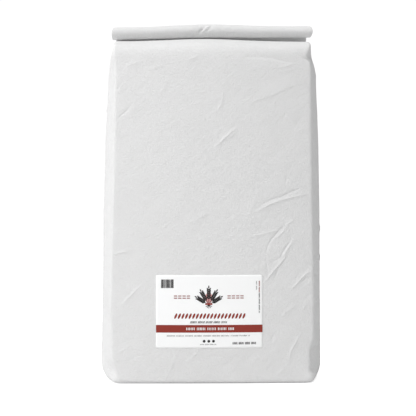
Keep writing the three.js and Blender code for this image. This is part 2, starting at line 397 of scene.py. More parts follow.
def ledge_sections(rows):
    """The narrow, nearly level strip between the roof's front fold and the neck."""
    ridge = body_section(RIDGE_Z)
    sections = []
    for i in range(1, rows + 1):
        share = i / rows
        sections.append(
            replace(
                ridge,
                centre_z=RIDGE_Z + LEDGE_RISE * share,
                front=lerp(ridge.front, BAND_HALF_THICKNESS, share),
                half_width=lerp(ridge.half_width, NECK_HALF_WIDTH, share),
                rounding=lerp(CREASE_ROUNDING, BAND_HALF_THICKNESS, share) / 2,
            )
        )
    return sections


def roll_sections(steps_per_turn):
    """The neck, then the band as it winds forward and down into the roll."""
    start_radius = ROLL_RADIUS - BAND_HALF_THICKNESS
    neck_heights = [lerp(RIDGE_Z, ROLL_Z, share) for share in (0.3, 0.6, 0.85)]
    sections = [band_section(0.0, 0.0, z, NECK_HALF_WIDTH) for z in neck_heights]
    for i in range(round(ROLL_TURNS * steps_per_turn) + 1):
        turn = 2 * math.pi * i / steps_per_turn
        press = ROLL_PRESS_DEPTH * bump(turn % (2 * math.pi), ROLL_PRESS_TURN, ROLL_PRESS_REACH)
        radius = start_radius - BAND_PITCH * i / steps_per_turn - press
        height = radius * math.sin(turn)
        dome = math.sqrt(1 - (height / ROLL_RADIUS) ** 2) * smoothstep(turn, 0, math.pi / 2)
        centre_y = radius * math.cos(turn) - start_radius
        centre_z = ROLL_Z + height * (1 + UNDERSIDE_DROP if height < 0 else 1)
        sections.append(band_section(turn, centre_y, centre_z, NECK_HALF_WIDTH + ROLL_END_DOME * dome))
    return sections


@dataclass(frozen=True)
class Crease:
    """A fold pressed into a panel. Its path runs left to right across the panel, in millimetres
    across and up. height is how far it stands out, or in if negative. lit and shaded are how far
    its slopes reach above and below the path."""

    path: tuple
    height: float
    lit: float
    shaded: float


# Folds that the filled bag has on its front panel
FRONT_CREASES = (
    Crease(((-133, 373), (-125, 379), (-119, 385), (-114, 392)), -0.7, 1.3, 1.6),
    Crease(((1, 331), (9, 338), (17, 346), (25, 353), (33, 359)), 0.9, 1.4, 2.2),
    Crease(((18, 344), (26, 347), (33, 351)), 0.4, 3.0, 1.2),
    Crease(((57, 240.5), (62, 242.5), (79, 252), (99, 259), (116, 263), (136, 267.5)), 0.8, 1.5, 1.1),
    Crease(((64, 249), (74, 255), (85, 260), (94, 262), (108, 269), (127, 276.5)), -0.75, 1.1, 1.2),
    Crease(((48, 232), (56, 253), (64, 275)), 0.35, 5.0, 6.0),
    Crease(((26, 231), (32, 237)), 0.4, 1.6, 2.2),
    Crease(((48, 205.5), (65, 210), (79, 213), (93, 216.5)), 0.55, 1.1, 1.6),
    Crease(((73, 180), (76, 193), (81, 202.5), (89, 212), (104, 226)), -0.8, 1.1, 1.1),
    Crease(((87, 204), (95, 210.5), (103, 220)), 0.5, 1.1, 1.5),
    Crease(((101, 221), (106, 226), (116, 232)), 0.45, 1.5, 2.4),
    Crease(((74, 178), (76, 164), (77, 149)), -0.45, 1.1, 1.2),
    Crease(((80, 171), (89, 174.5), (96, 179)), -0.5, 1.1, 1.3),
    Crease(((93, 176), (99, 187), (104, 194), (109, 202)), -0.75, 1.1, 1.1),
    Crease(((96, 177), (102, 186), (107, 193), (112, 202)), 0.65, 1.1, 1.6),
    Crease(((69, 140), (77, 149), (85, 160), (94, 169.5), (100, 177), (102, 186)), 0.85, 1.2, 1.3),
    Crease(((82, 145), (88, 153), (91, 162), (98, 171), (103, 178)), -0.5, 1.1, 1.4),
    Crease(((106, 129), (115, 138), (122, 146), (130, 154), (140, 161)), 0.8, 1.1, 1.4),
    Crease(((122, 142), (130, 147), (140, 151)), -0.55, 1.2, 1.6),
    Crease(((115, 146), (119, 153)), -0.4, 1.2, 1.4),
    Crease(((95, 94), (104, 102), (117, 111)), 0.4, 2.4, 3.0),
    Crease(((126, 103), (132, 117)), 0.35, 2.0, 2.4),
    Crease(((103, 22), (107, 34), (109, 46), (114, 55), (125, 74)), 0.7, 1.6, 2.4),
    Crease(((88, 12), (95, 17), (101, 22)), 0.45, 1.5, 2.0),
    Crease(((81, 60), (86, 72)), -0.45, 1.5, 1.8),
    Crease(((54, 164), (73, 177)), -0.3, 2.0, 2.4),
    Crease(((-129, 110), (-124, 116), (-112, 128), (-100, 141)), 0.75, 1.4, 2.0),
    Crease(((-141, 182), (-128, 185), (-114, 188)), 0.7, 1.3, 1.8),
    Crease(((-68, 5), (-61, 20), (-50, 46)), 0.4, 2.2, 2.6),
    Crease(((-31, 36), (-19, 49)), 0.35, 2.0, 2.6),
    Crease(((52, 24), (58, 33), (65, 42)), 0.35, 2.0, 2.8),
    Crease(((60, 2), (65, 11)), -0.5, 1.2, 1.6),
    Crease(((39, 5), (39.5, 18)), -0.3, 1.4, 1.6),
    Crease(((75, 19), (81, 26)), -0.3, 1.4, 1.8),
    Crease(((-115, 30), (-107, 44)), -0.3, 2.4, 2.8),
    Crease(((-134, 44), (-118, 53)), 0.3, 3.4, 3.8),
    Crease(((80, 442), (101, 444.5), (113, 449), (129, 449.5)), 0.5, 8.0, 1.3),
    Crease(((90, 437), (104, 439), (122, 444)), 0.3, 5.0, 1.6),
    Crease(((45, 391), (64, 398), (82, 404), (107, 416), (128, 423)), 0.42, 9.0, 1.1),
    Crease(((36, 457), (68, 457.5), (85, 456), (98, 452.5), (128, 449)), -0.8, 7.0, 2.4),
    Crease(((126, 457.5), (138, 455.5)), -0.9, 1.3, 1.5),
    Crease(((-36, 453), (-22, 458)), 0.45, 1.5, 2.0),
    Crease(((-89, 440), (-70, 446)), 0.4, 1.6, 2.2),
    Crease(((-122, 445), (-98, 452)), 0.35, 1.6, 2.2),
    Crease(((-74, 406), (-66, 418)), 0.3, 1.8, 2.4),
    Crease(((-5, 379), (4, 380), (9, 388), (13, 400), (14, 415)), 0.4, 1.8, 2.2),
    Crease(((-32, 227), (-12, 237), (-3, 239)), 0.3, 2.2, 1.4),
    Crease(((102, 279), (104, 295)), -0.35, 1.5, 1.7),
    Crease(((98, 369), (100.5, 379)), -0.3, 1.5, 1.8),
    Crease(((112, 355), (126, 378)), -0.4, 5.0, 6.0),
    Crease(((-72, 351), (-63, 357)), -0.3, 1.7, 2.0),
    Crease(((-136, 411), (-131, 415)), -0.35, 1.2, 1.4),
    Crease(((-131, 414), (-124, 421)), 0.35, 1.3, 1.6),
)

# The same on the right gusset, whose places run from front to back and up
RIGHT_CREASES = (
    Crease(((-64, 168), (-44, 175), (-22, 180)), 1.7, 1.6, 2.0),
    Crease(((-63, 150), (-50, 154)), -1.1, 2.0, 2.0),
    Crease(((-63, 113), (-46, 123)), 1.3, 1.6, 2.2),
    Crease(((-60, 43), (-38, 56)), 0.8, 3.0, 3.6),
    Crease(((-58, 232), (-34, 246)), 0.6, 3.0, 4.0),
    Crease(((-60, 330), (-28, 352)), 0.6, 4.0, 5.0),
)

# The same on the front of the roll
ROLL_CREASES = (
    Crease(((-20, 498), (-14, 504), (-7, 511.5)), -1.7, 1.8, 1.3),
    Crease(((-14, 500.5), (-7, 507), (-1, 512)), 0.8, 1.5, 1.5),
    Crease(((-9, 500.5), (-3, 506), (2, 511)), -1.2, 1.5, 1.3),
)


# What the scattered folds are drawn from, in millimetres and degrees; their angle has a mean and a spread
SCATTER_LENGTH = (14, 46)
SCATTER_ANGLE = (38, 14)
SCATTER_BEND = 0.1
SCATTER_HEIGHT = (0.4, 1.0)
SCATTER_LIT = (1.3, 2.6)
SCATTER_SHADED = (1.5, 3.2)


def scattered_creases(seed, count, half_width, low, high):
    """Folds like those on the front, for a side that the camera doesn't see."""
    dice = random.Random(seed)
    creases = []
    for _ in range(count):
        length = dice.uniform(*SCATTER_LENGTH)
        angle = math.radians(dice.gauss(*SCATTER_ANGLE))
        x = dice.uniform(-half_width, half_width - length * math.cos(angle))
        z = dice.uniform(low, high)
        bend = dice.uniform(-SCATTER_BEND, SCATTER_BEND) * length
        middle = (x + length * math.cos(angle) / 2, z + length * math.sin(angle) / 2 + bend)
        end = (x + length * math.cos(angle), z + length * math.sin(angle))
        height = dice.choice((-1, 1, 1)) * dice.uniform(*SCATTER_HEIGHT)
        lit, shaded = dice.uniform(*SCATTER_LIT), dice.uniform(*SCATTER_SHADED)
        creases.append(Crease(((x, z), middle, end), height, lit, shaded))
    return creases


# The line where each gusset was folded while the bag lay flat
GUSSET_FOLD = Crease(((0, 14), (0, 432)), -0.75, 1.7, 1.7)
SIDE_CREASES = {
    "front": FRONT_CREASES,
    "right": (GUSSET_FOLD, *RIGHT_CREASES, *scattered_creases(5, 7, 50, 20, 425)),
    "back": tuple(scattered_creases(11, 26, 128, 20, 440)),
    "left": (GUSSET_FOLD, *scattered_creases(23, 9, 50, 20, 425)),
}


# The way out of each side, in x and y
OUTWARDS = {"front": (0, -1), "right": (1, 0), "back": (0, 1), "left": (-1, 0)}


def across_side(side, points):
    """How far to the right each point lies on a side, seen from outside."""
    x, y = OUTWARDS[side]
    return points[:, 1] * x - points[:, 0] * y


def outward_part(side, normals):
    """How squarely each normal points out of a side, from -1 to 1."""
    x, y = OUTWARDS[side]
    return normals[:, 0] * x + normals[:, 1] * y


def facing_share(side, normals):
    """1 where the paper faces a side, easing to 0 where it turns away."""
    return smoothstep(outward_part(side, normals), FACING_START, FACING_WHOLE)


def place_by_crease(across, up, crease):
    """Each point's distance from a crease, the side it lies on and its share of the crease's length."""
    path = np.array(crease.path, float)
    lengths = np.linalg.norm(np.diff(path, axis=0), axis=1)
    nearest = np.full(across.shape, 1e9)
    signed = np.zeros_like(across)
    share = np.zeros_like(across)
    for i, length in enumerate(lengths):
        (x0, z0), (dx, dz) = path[i], (path[i + 1] - path[i]) / length
        along = np.clip((across - x0) * dx + (up - z0) * dz, 0, length)
        off_x, off_z = across - x0 - along * dx, up - z0 - along * dz
        distance = np.hypot(off_x, off_z)
        closer = distance < nearest
        nearest = np.where(closer, distance, nearest)
        signed = np.where(closer, dx * off_z - dz * off_x, signed)
        share = np.where(closer, (lengths[:i].sum() + along) / lengths.sum(), share)
    return nearest, signed, share


def crease_distance(across, up, creases):
    """Each point's distance from the nearest of a set of creases."""
    return np.min([place_by_crease(across, up, crease)[0] for crease in creases], axis=0)


def crease_relief(across, up, creases):
    """How far a set of creases moves each point outwards, in millimetres."""
    relief = np.zeros_like(across)
    for crease in creases:
        nearest, signed, share = place_by_crease(across, up, crease)
        reach = np.where(signed > 0, crease.lit, crease.shaded)
        ends = np.sin(np.pi * np.clip(share, 0.02, 0.98)) ** 0.7
        relief += crease.height * ends * np.exp(-nearest / reach)
    return relief


def label_cover(x, z, half_width, half_height):
    """1 under the label, easing to 0 just outside it."""
    side = 1 - smoothstep(np.abs(x - LABEL_CENTRE_X), half_width - 1, half_width + 6)
    end = 1 - smoothstep(np.abs(z - LABEL_CENTRE_Z), half_height - 1, half_height + 6)
    return side * end


def vertex_array(items, key):
    """A vector property of every item as rows of an array."""
    values = np.empty(len(items) * 3, np.float32)
    items.foreach_get(key, values)
    return values.reshape(-1, 3).astype(float)


def refine_at_creases(mesh, cuts):
    """Splits the faces along every side's folds into smaller ones."""
    shape = bmesh.new()
    shape.from_mesh(mesh)
    faces = [face for face in shape.faces if len(face.verts) == 4]
    centres = np.array([face.calc_center_median() for face in faces]) / MM
    normals = np.array([face.normal for face in faces])
    up = centres[:, 2]
    near = np.zeros(len(faces), bool)
    for side, creases in SIDE_CREASES.items():
        at_side = (outward_part(side, normals) > FACING_WHOLE) & (up < RIDGE_Z)
        near |= at_side & (crease_distance(across_side(side, centres), up, creases) < FOLD_REACH)
    at_roll = (outward_part("front", normals) > FACING_WHOLE) & (up > RIDGE_Z)
    near |= at_roll & (crease_distance(across_side("front", centres), up, ROLL_CREASES) < FOLD_REACH)
    edges = {edge for face, split in zip(faces, near) if split for edge in face.edges}
    ordered = sorted(edges, key=lambda edge: edge.index)
    bmesh.ops.subdivide_edges(shape, edges=ordered, cuts=cuts, use_grid_fill=True)
    for face in shape.faces:
        face.smooth = True
    shape.to_mesh(mesh)
    shape.free()


def place_on_panel(x, z):
    """Each point's place across the panel, as if the panel were PANEL_HALF_WIDTH wide all the way up."""
    heights = np.linspace(0, RIDGE_Z, 120)
    sections = [body_section(height) for height in heights]
    half_width = np.interp(z, heights, [section.half_width for section in sections])
    lean = np.interp(z, heights, [section.lean for section in sections])
    return (x - lean) / half_width * PANEL_HALF_WIDTH


def paper_relief(points, normals, strength, label_size):
    """Outward movement of every point of the bag for its folds, its gussets' valleys and its lap seam."""
    x, y, z = points.T
    standing = smoothstep(z, 1, 7) * (1 - smoothstep(z, RIDGE_Z - 14, RIDGE_Z - 2))
    cover = label_cover(x, z, label_size[0] / 2, label_size[1] / 2)
    relief = np.zeros_like(x)
    for side, creases in SIDE_CREASES.items():
        folds = facing_share(side, normals) * crease_relief(across_side(side, points), z, creases)
        relief += folds * (1 - LABEL_HOLD * cover) if side == "front" else folds
    relief *= strength * standing

    roll_axis_z = ROLL_Z + TOP_RISE * bump(x, TOP_RISE_X, TOP_RISE_REACH)
    from_axis = np.hypot(y + ROLL_RADIUS - BAND_HALF_THICKNESS, z - roll_axis_z)
    outermost = smoothstep(from_axis, *OUTER_WINDING) * (z > RIDGE_Z + LEDGE_RISE)
    relief += strength * outermost * facing_share("front", normals) * crease_relief(x, z, ROLL_CREASES)

    facing_side = smoothstep(np.abs(normals[:, 0]), 0.35, 0.8)
    valley = np.maximum(0, 1 - np.abs(y) / GUSSET_VALLEY_REACH) * smoothstep(z, 6, 30)
    valley *= 1 - smoothstep(z, SHOULDER_Z - 20, SHOULDER_Z)
    relief -= GUSSET_VALLEY_DEPTH * valley * facing_side

    panel_x = place_on_panel(x, z)
    inside_lap = (panel_x > LAP_SEAM_X) & (panel_x < LAP_SEAM_X + LAP_SEAM_WIDTH) & (z < RIDGE_Z)
    relief += LAP_SEAM_STEP * inside_lap * facing_share("back", normals) * smoothstep(z, 4, 12)
    return relief


def ripple_mask(points, label_size):
    """How strongly the ripples show at every point: less by the ridge, on the roll and under the label."""
    x, y, z = points.T
    cover = label_cover(x, z, label_size[0] / 2, label_size[1] / 2)
    mask = (1 - LABEL_HOLD * cover * (y < 0)) * smoothstep(z, 3, 20)
    mask *= lerp(1.0, 0.35, smoothstep(z, RIDGE_Z - 24, RIDGE_Z - 2))
    return mask * np.where(z > RIDGE_Z + LEDGE_RISE / 2, 0.4, 1.0)


def link_piece(name, mesh, replaced=None):
    """Makes a piece of the object from a mesh, attaches it to the frame's root and hides the part of the
    frame that it replaces.
    """
    piece = bpy.data.objects.new(name, mesh)
    bpy.context.scene.collection.objects.link(piece)
    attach(piece, "root")
    if replaced:
        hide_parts(replaced)
    return piece


def mesh_from_arrays(name, points, faces):
    """A smooth-shaded mesh from points in millimetres."""
    mesh = bpy.data.meshes.new(name)
    mesh.from_pydata((np.asarray(points) * MM).tolist(), [], faces)
    mesh.polygons.foreach_set("use_smooth", np.ones(len(mesh.polygons), bool))
    mesh.update()
    return mesh


def mesh_from_shape(name, shape):
    """A mesh made from a finished bmesh, which is freed."""
    mesh = bpy.data.meshes.new(name)
    shape.to_mesh(mesh)
    shape.free()
    return mesh


def loop_faces(rows, columns):
    """Quads between the rows of a grid whose rows close on themselves."""
    faces = []
    for row in range(rows - 1):
        low, high = row * columns, (row + 1) * columns
        for column in range(columns):
            after = (column + 1) % columns
            faces.append((low + column, low + after, high + after, high + column))
    return faces


SOCKET_KINDS = {bool: "Bool", int: "Int", float: "Float", tuple: "Color"}


def new_group(name, tree_type, inputs, outputs):
    """A node group with named sockets: each input has its default or its kind, each output its kind."""
    tree = bpy.data.node_groups.new(name, tree_type)
    for label, given in inputs.items():
        has_kind = isinstance(given, str)
        kind = given if has_kind else SOCKET_KINDS[type(given)]
        socket = tree.interface.new_socket(label, in_out="INPUT", socket_type=f"NodeSocket{kind}")
        if not has_kind:
            socket.default_value = given
    for label, kind in outputs.items():
        tree.interface.new_socket(label, in_out="OUTPUT", socket_type=f"NodeSocket{kind}")
    return tree


def add_node(tree, node_type, settings=None, **links):
    """Adds a node; links maps an input's name, with _ for a space, to a value or an output socket."""
    node = tree.nodes.new(node_type)
    for key, value in (settings or {}).items():
        setattr(node, key, value)
    for key, value in links.items():
        socket = node.inputs[int(key[1:])] if key[1:].isdigit() else node.inputs[key.replace("_", " ")]
        if isinstance(value, bpy.types.NodeSocket):
            tree.links.new(value, socket)
        else:
            socket.default_value = value
    return node


def maths(tree, operation, first, second=0.0, third=0.0):
    """A Math node's result."""
    node = add_node(tree, "ShaderNodeMath", {"operation": operation}, i0=first, i1=second, i2=third)
    return node.outputs[0]


def vector_maths(tree, operation, first, second=(0.0, 0.0, 0.0)):
    """A Vector Math node's vector result."""
    node = add_node(tree, "ShaderNodeVectorMath", {"operation": operation}, i0=first, i1=second)
    return node.outputs[0]


def scaled_vector(tree, vector, factor):
    """A vector times a number."""
    node = add_node(tree, "ShaderNodeVectorMath", {"operation": "SCALE"}, i0=vector, Scale=factor)
    return node.outputs[0]


def combined(tree, x=0.0, y=0.0, z=0.0):
    """A Combine XYZ node's vector."""
    return add_node(tree, "ShaderNodeCombineXYZ", X=x, Y=y, Z=z).outputs[0]


def about_zero(tree, value, strength):
    """Moves a noise value from around a half to around nothing and gives it a strength."""
    return maths(tree, "MULTIPLY", maths(tree, "SUBTRACT", value, 0.5), strength)


def slanting_place(tree, place, slant, draw):
    """A place turned by the slant and squeezed along it, so that a pattern there is drawn out that way."""
    turned = add_node(tree, "ShaderNodeVectorRotate", {"rotation_type": "Y_AXIS"}, Vector=place, Angle=slant)
    return vector_maths(tree, "MULTIPLY", turned.outputs[0], (draw, 1.0, 1.0))


def transformed(tree, geometry, **moves):
    """A Transform Geometry node's result."""
    return add_node(tree, "GeometryNodeTransform", Geometry=geometry, **moves).outputs[0]


def mesh_from_tree(tree, name, values, start=None):
    """Runs a Geometry Nodes tree on a mesh, or on nothing, and returns the plain mesh it makes."""
    holder = bpy.data.objects.new(name, start or bpy.data.meshes.new(name))
    bpy.context.scene.collection.objects.link(holder)
    modifier = holder.modifiers.new(name, "NODES")
    modifier.node_group = tree
    identifiers = {
        item.name: item.identifier
        for item in tree.interface.items_tree
        if item.item_type == "SOCKET" and item.in_out == "INPUT"
    }
    for label, value in values.items():
        modifier[identifiers[label]] = value
    depsgraph = bpy.context.evaluated_depsgraph_get()
    made = bpy.data.meshes.new_from_object(holder.evaluated_get(depsgraph), depsgraph=depsgraph)
    made.name = name
    used = holder.data
    bpy.data.objects.remove(holder)
    bpy.data.meshes.remove(used)
    return made


def end_tree(tree, geometry, material):
    """Ends a Geometry Nodes tree with its instances realized and its material set."""
    real = add_node(tree, "GeometryNodeRealizeInstances", Geometry=geometry)
    dressed = add_node(tree, "GeometryNodeSetMaterial", Geometry=real.outputs[0], Material=material)
    end = tree.nodes.new("NodeGroupOutput")
    tree.links.new(dressed.outputs[0], end.inputs[0])


def paper_ripple_tree():
    """Geometry Nodes that work shallow slanting ripples and dents into the filled paper."""
    tree = new_group(
        "Paper ripples",
        "GeometryNodeTree",
        {
            "Geometry": "Geometry",
            "Ripple Height": 0.0006,
            "Ripples Per Metre": 26.0,
            "Dent Height": 0.0002,
            "Dents Per Metre": 120.0,
            "Slant": 0.75,
            "Seed": 3.0,
            "Material": "Material",
        },
        {"Geometry": "Geometry"},
    )
    given = tree.nodes.new("NodeGroupInput").outputs
    place = tree.nodes.new("GeometryNodeInputPosition").outputs[0]
    normal = tree.nodes.new("GeometryNodeInputNormal").outputs[0]
    mask = add_node(tree, "GeometryNodeInputNamedAttribute", {"data_type": "FLOAT"}, Name="ripple")
    drawn_out = slanting_place(tree, place, given["Slant"], 0.33)
    waves = []
    for height, per_metre in (("Ripple Height", "Ripples Per Metre"), ("Dent Height", "Dents Per Metre")):
        wave = add_node(
            tree,
            "ShaderNodeTexNoise",
            {"noise_dimensions": "4D"},
            Vector=drawn_out,
            W=given["Seed"],
            Scale=given[per_metre],
            Detail=2.0,
        )
        waves.append(about_zero(tree, wave.outputs[0], given[height]))
    amount = maths(tree, "MULTIPLY", maths(tree, "ADD", *waves), mask.outputs[0])
    moved = add_node(
        tree,
        "GeometryNodeSetPosition",
        Geometry=given["Geometry"],
        Offset=scaled_vector(tree, normal, amount),
    )
    end_tree(tree, moved.outputs[0], given["Material"])
    return tree


def bar_row_tree():
    """Geometry Nodes for a row of upright bars of uneven width, with gaps between groups of them."""
    tree = new_group(
        "Row of bars",
        "GeometryNodeTree",
        {
            "Geometry": "Geometry",
            "Length": 0.05,
            "Bar Height": 0.004,
            "Pitch": 0.002,
            "Fullness": 0.6,
            "Unevenness": 0.5,
            "Group Size": 7,
            "Slant": 0.0,
            "Rounded": False,
            "Seed": 1,
            "Material": "Material",
        },
        {"Geometry": "Geometry"},
    )
    given = tree.nodes.new("NodeGroupInput").outputs
    half = maths(tree, "MULTIPLY", given["Length"], 0.5)
    line = add_node(
        tree,
        "GeometryNodeMeshLine",
        {"mode": "OFFSET"},
        Count=maths(tree, "ROUND", maths(tree, "DIVIDE", given["Length"], given["Pitch"])),
        Start_Location=combined(tree, maths(tree, "MULTIPLY", half, -1.0)),
        Offset=combined(tree, given["Pitch"]),
    )
    index = tree.nodes.new("GeometryNodeInputIndex").outputs[0]
    place_in_group = maths(tree, "MODULO", index, given["Group Size"])
    is_gap = maths(tree, "LESS_THAN", place_in_group, 0.5)
    kept = add_node(tree, "GeometryNodeDeleteGeometry", Geometry=line.outputs[0], Selection=is_gap)
    dice = add_node(
        tree,
        "FunctionNodeRandomValue",
        {"data_type": "FLOAT"},
        i2=maths(tree, "SUBTRACT", 1.0, given["Unevenness"]),
        i3=1.0,
        Seed=given["Seed"],
    )
    bar_width = maths(tree, "MULTIPLY", given["Pitch"], given["Fullness"])
    bar = add_node(
        tree,
        "GeometryNodeMeshGrid",
        Size_X=bar_width,
        Size_Y=given["Bar Height"],
        Vertices_X=2,
        Vertices_Y=3,
    )
    disc = add_node(tree, "GeometryNodeMeshCircle", {"fill_type": "NGON"}, Vertices=12, Radius=0.5)
    kernel_size = combined(tree, bar_width, given["Bar Height"], 1.0)
    kernel = transformed(tree, disc.outputs[0], Scale=kernel_size)
    shape = add_node(
        tree,
        "GeometryNodeSwitch",
        {"input_type": "GEOMETRY"},
        Switch=given["Rounded"],
        **{"False": bar.outputs[0], "True": kernel},
    )
    upright = transformed(tree, shape.outputs[0], Rotation=combined(tree, math.pi / 2, given["Slant"]))
    bars = add_node(
        tree,
        "GeometryNodeInstanceOnPoints",
        Points=kept.outputs[0],
        Instance=upright,
        Scale=combined(tree, dice.outputs[1], 1.0, 1.0),
    )
    end_tree(tree, bars.outputs[0], given["Material"])
    return tree


def grain_ear_tree():
    """Geometry Nodes for a flat ear of grain: a stem with slanting kernels up both sides."""
    tree = new_group(
        "Ear of grain",
        "GeometryNodeTree",
        {
            "Geometry": "Geometry",
            "Pairs": 7,
            "Ear Length": 0.015,
            "Stem Length": 0.014,
            "Stem Width": 0.0006,
            "Kernel Length": 0.004,
            "Kernel Slant": 0.6,
            "Material": "Material",
        },
        {"Geometry": "Geometry"},
    )
    given = tree.nodes.new("NodeGroupInput").outputs
    ring = add_node(
        tree,
        "GeometryNodeCurvePrimitiveCircle",
        Resolution=10,
        Radius=maths(tree, "MULTIPLY", given["Kernel Length"], 0.5),
    )
    filled = add_node(tree, "GeometryNodeFillCurve", {"mode": "NGONS"}, Curve=ring.outputs[0])
    kernel = transformed(
        tree,
        filled.outputs[0],
        Translation=combined(tree, z=maths(tree, "MULTIPLY", given["Kernel Length"], 0.62)),
        Rotation=(math.pi / 2, 0.0, 0.0),
        Scale=(0.4, 1.0, 1.0),
    )
    places = add_node(
        tree,
        "GeometryNodeMeshLine",
        {"mode": "OFFSET"},
        Count=given["Pairs"],
        Start_Location=combined(tree, z=given["Stem Length"]),
        Offset=combined(tree, z=maths(tree, "DIVIDE", given["Ear Length"], given["Pairs"])),
    )
    parts = []
    for hand in (-1.0, 1.0):
        row = add_node(
            tree,
            "GeometryNodeInstanceOnPoints",
            Points=places.outputs[0],
            Instance=kernel,
            Rotation=combined(tree, y=maths(tree, "MULTIPLY", given["Kernel Slant"], hand)),
        )
        parts.append(row.outputs[0])
    whole = maths(tree, "ADD", given["Stem Length"], given["Ear Length"])
    stem = add_node(
        tree,
        "GeometryNodeMeshGrid",
        Size_X=given["Stem Width"],
        Size_Y=whole,
        Vertices_X=2,
        Vertices_Y=8,
    )
    parts.append(transformed(tree, kernel, Translation=combined(tree, z=whole)))
    middle = combined(tree, z=maths(tree, "MULTIPLY", whole, 0.5))
    parts.append(transformed(tree, stem.outputs[0], Translation=middle, Rotation=(math.pi / 2, 0.0, 0.0)))
    joined = tree.nodes.new("GeometryNodeJoinGeometry")
    for part in parts:
        tree.links.new(part, joined.inputs[0])
    end_tree(tree, joined.outputs[0], given["Material"])
    return tree


def paper_fibre_group():
    """Shader group for the look of paper: a soft cloudiness, and a fine grain for its surface."""
    tree = new_group(
        "Paper fibre",
        "ShaderNodeTree",
        {
            "Tone": (0.7, 0.7, 0.7, 1.0),
            "Cloudiness": 0.04,
            "Grain Depth": 0.0001,
            "Streak Depth": 0.0002,
        },
        {"Color": "Color", "Roughness": "Float", "Normal": "Vector"},
    )
    given = tree.nodes.new("NodeGroupInput").outputs
    place = tree.nodes.new("ShaderNodeTexCoord").outputs["Object"]
    cloud = add_node(tree, "ShaderNodeTexNoise", Vector=place, Scale=38.0, Detail=5.0, Roughness=0.6)
    fibre = add_node(tree, "ShaderNodeTexNoise", Vector=place, Scale=400.0, Detail=4.0, Roughness=0.7)
    drawn_out = slanting_place(tree, place, 0.75, 0.28)
    streak = add_node(
        tree, "ShaderNodeTexNoise", Vector=drawn_out, Scale=170.0, Detail=4.0, Roughness=0.6
    )

    clouded = about_zero(tree, cloud.outputs[0], given["Cloudiness"])
    speckled = about_zero(tree, fibre.outputs[0], maths(tree, "MULTIPLY", given["Cloudiness"], 0.5))
    shade = maths(tree, "ADD", 1.0, maths(tree, "ADD", clouded, speckled))
    toned = vector_maths(tree, "MULTIPLY", given["Tone"], combined(tree, shade, shade, shade))

    height = maths(
        tree,
        "ADD",
        maths(tree, "MULTIPLY", fibre.outputs[0], given["Grain Depth"]),
        maths(tree, "MULTIPLY", streak.outputs[0], given["Streak Depth"]),
    )
    relief = add_node(tree, "ShaderNodeBump", Distance=1.0, Strength=1.0, Height=height)
    roughness = maths(tree, "MULTIPLY_ADD", cloud.outputs[0], 0.12, 0.7)
    end = tree.nodes.new("NodeGroupOutput")
    tree.links.new(toned, end.inputs["Color"])
    tree.links.new(roughness, end.inputs["Roughness"])
    tree.links.new(relief.outputs[0], end.inputs["Normal"])
    return tree


def paper_material(name, colour, cloudiness, grain, streak, specular):
    """A matte paper or ink that takes its colour, roughness and relief from the fibre group."""
    material = bpy.data.materials.new(name)
    material.use_nodes = True
    tree = material.node_tree
    shader = tree.nodes["Principled BSDF"]
    shader.inputs["Specular IOR Level"].default_value = specular
    fibre = tree.nodes.new("ShaderNodeGroup")
    fibre.node_tree = bpy.data.node_groups.get("Paper fibre") or paper_fibre_group()
    fibre.inputs["Tone"].default_value = (*colour, 1.0)
    fibre.inputs["Cloudiness"].default_value = cloudiness
    fibre.inputs["Grain Depth"].default_value = grain
    fibre.inputs["Streak Depth"].default_value = streak
    tree.links.new(fibre.outputs["Color"], shader.inputs["Base Color"])
    tree.links.new(fibre.outputs["Roughness"], shader.inputs["Roughness"])
    tree.links.new(fibre.outputs["Normal"], shader.inputs["Normal"])
    return material


def surface_tree(mesh):
    """A search tree of a mesh's faces, to lay other pieces on it."""
    shape = bmesh.new()
    shape.from_mesh(mesh)
    tree = BVHTree.FromBMesh(shape)
    shape.free()
    return tree


def depth_at(tree, x, z):
    """How far back the surface lies at this place, seen from the front, in metres."""
    hit = tree.ray_cast(Vector((x, -1.0, z)), Vector((0.0, 1.0, 0.0)))[0]
    if hit is None:
        raise RuntimeError(f"nothing to lay a piece on at {x:.3f}, {z:.3f}")
    return hit.y


def lay_on(mesh, tree, gap):
    """Moves a flat mesh back or forward until it follows a surface at this gap."""
    for vertex in mesh.vertices:
        vertex.co.y = depth_at(tree, vertex.co.x, vertex.co.z) - gap
    mesh.update()


def colour_property(name, description, default):
    """A colour for the user to change."""
    return bpy.props.FloatVectorProperty(
        name=name, description=description, subtype="COLOR", default=default, min=0.0, max=1.0
    )


class FlourBagSettings(bpy.types.PropertyGroup):
    """Sizes, finish and colours of the paper bag."""

    crease_strength: bpy.props.FloatProperty(
        name="Crease strength",
        description="How strongly the folds stand out",
        default=1.45,
        min=0.0,
        max=2.0,
    )
    ripple_height: bpy.props.FloatProperty(
        name="Ripple height",
        description="Height of the shallow slanting ripples in the paper",
        default=0.0011,
        min=0.0,
        unit="LENGTH",
    )
    front_columns: bpy.props.IntProperty(
        name="Front columns", description="Fineness of the front panel", default=118, min=16
    )
    body_rows: bpy.props.IntProperty(
        name="Body rows", description="Fineness of the bag from base to shoulder", default=158, min=16
    )
    fold_cuts: bpy.props.IntProperty(
        name="Fold cuts", description="How finely the paper is split at its folds", default=2, min=0
    )
    paper_colour: colour_property("Paper colour", "Colour of the bleached paper", (0.735, 0.735, 0.735))


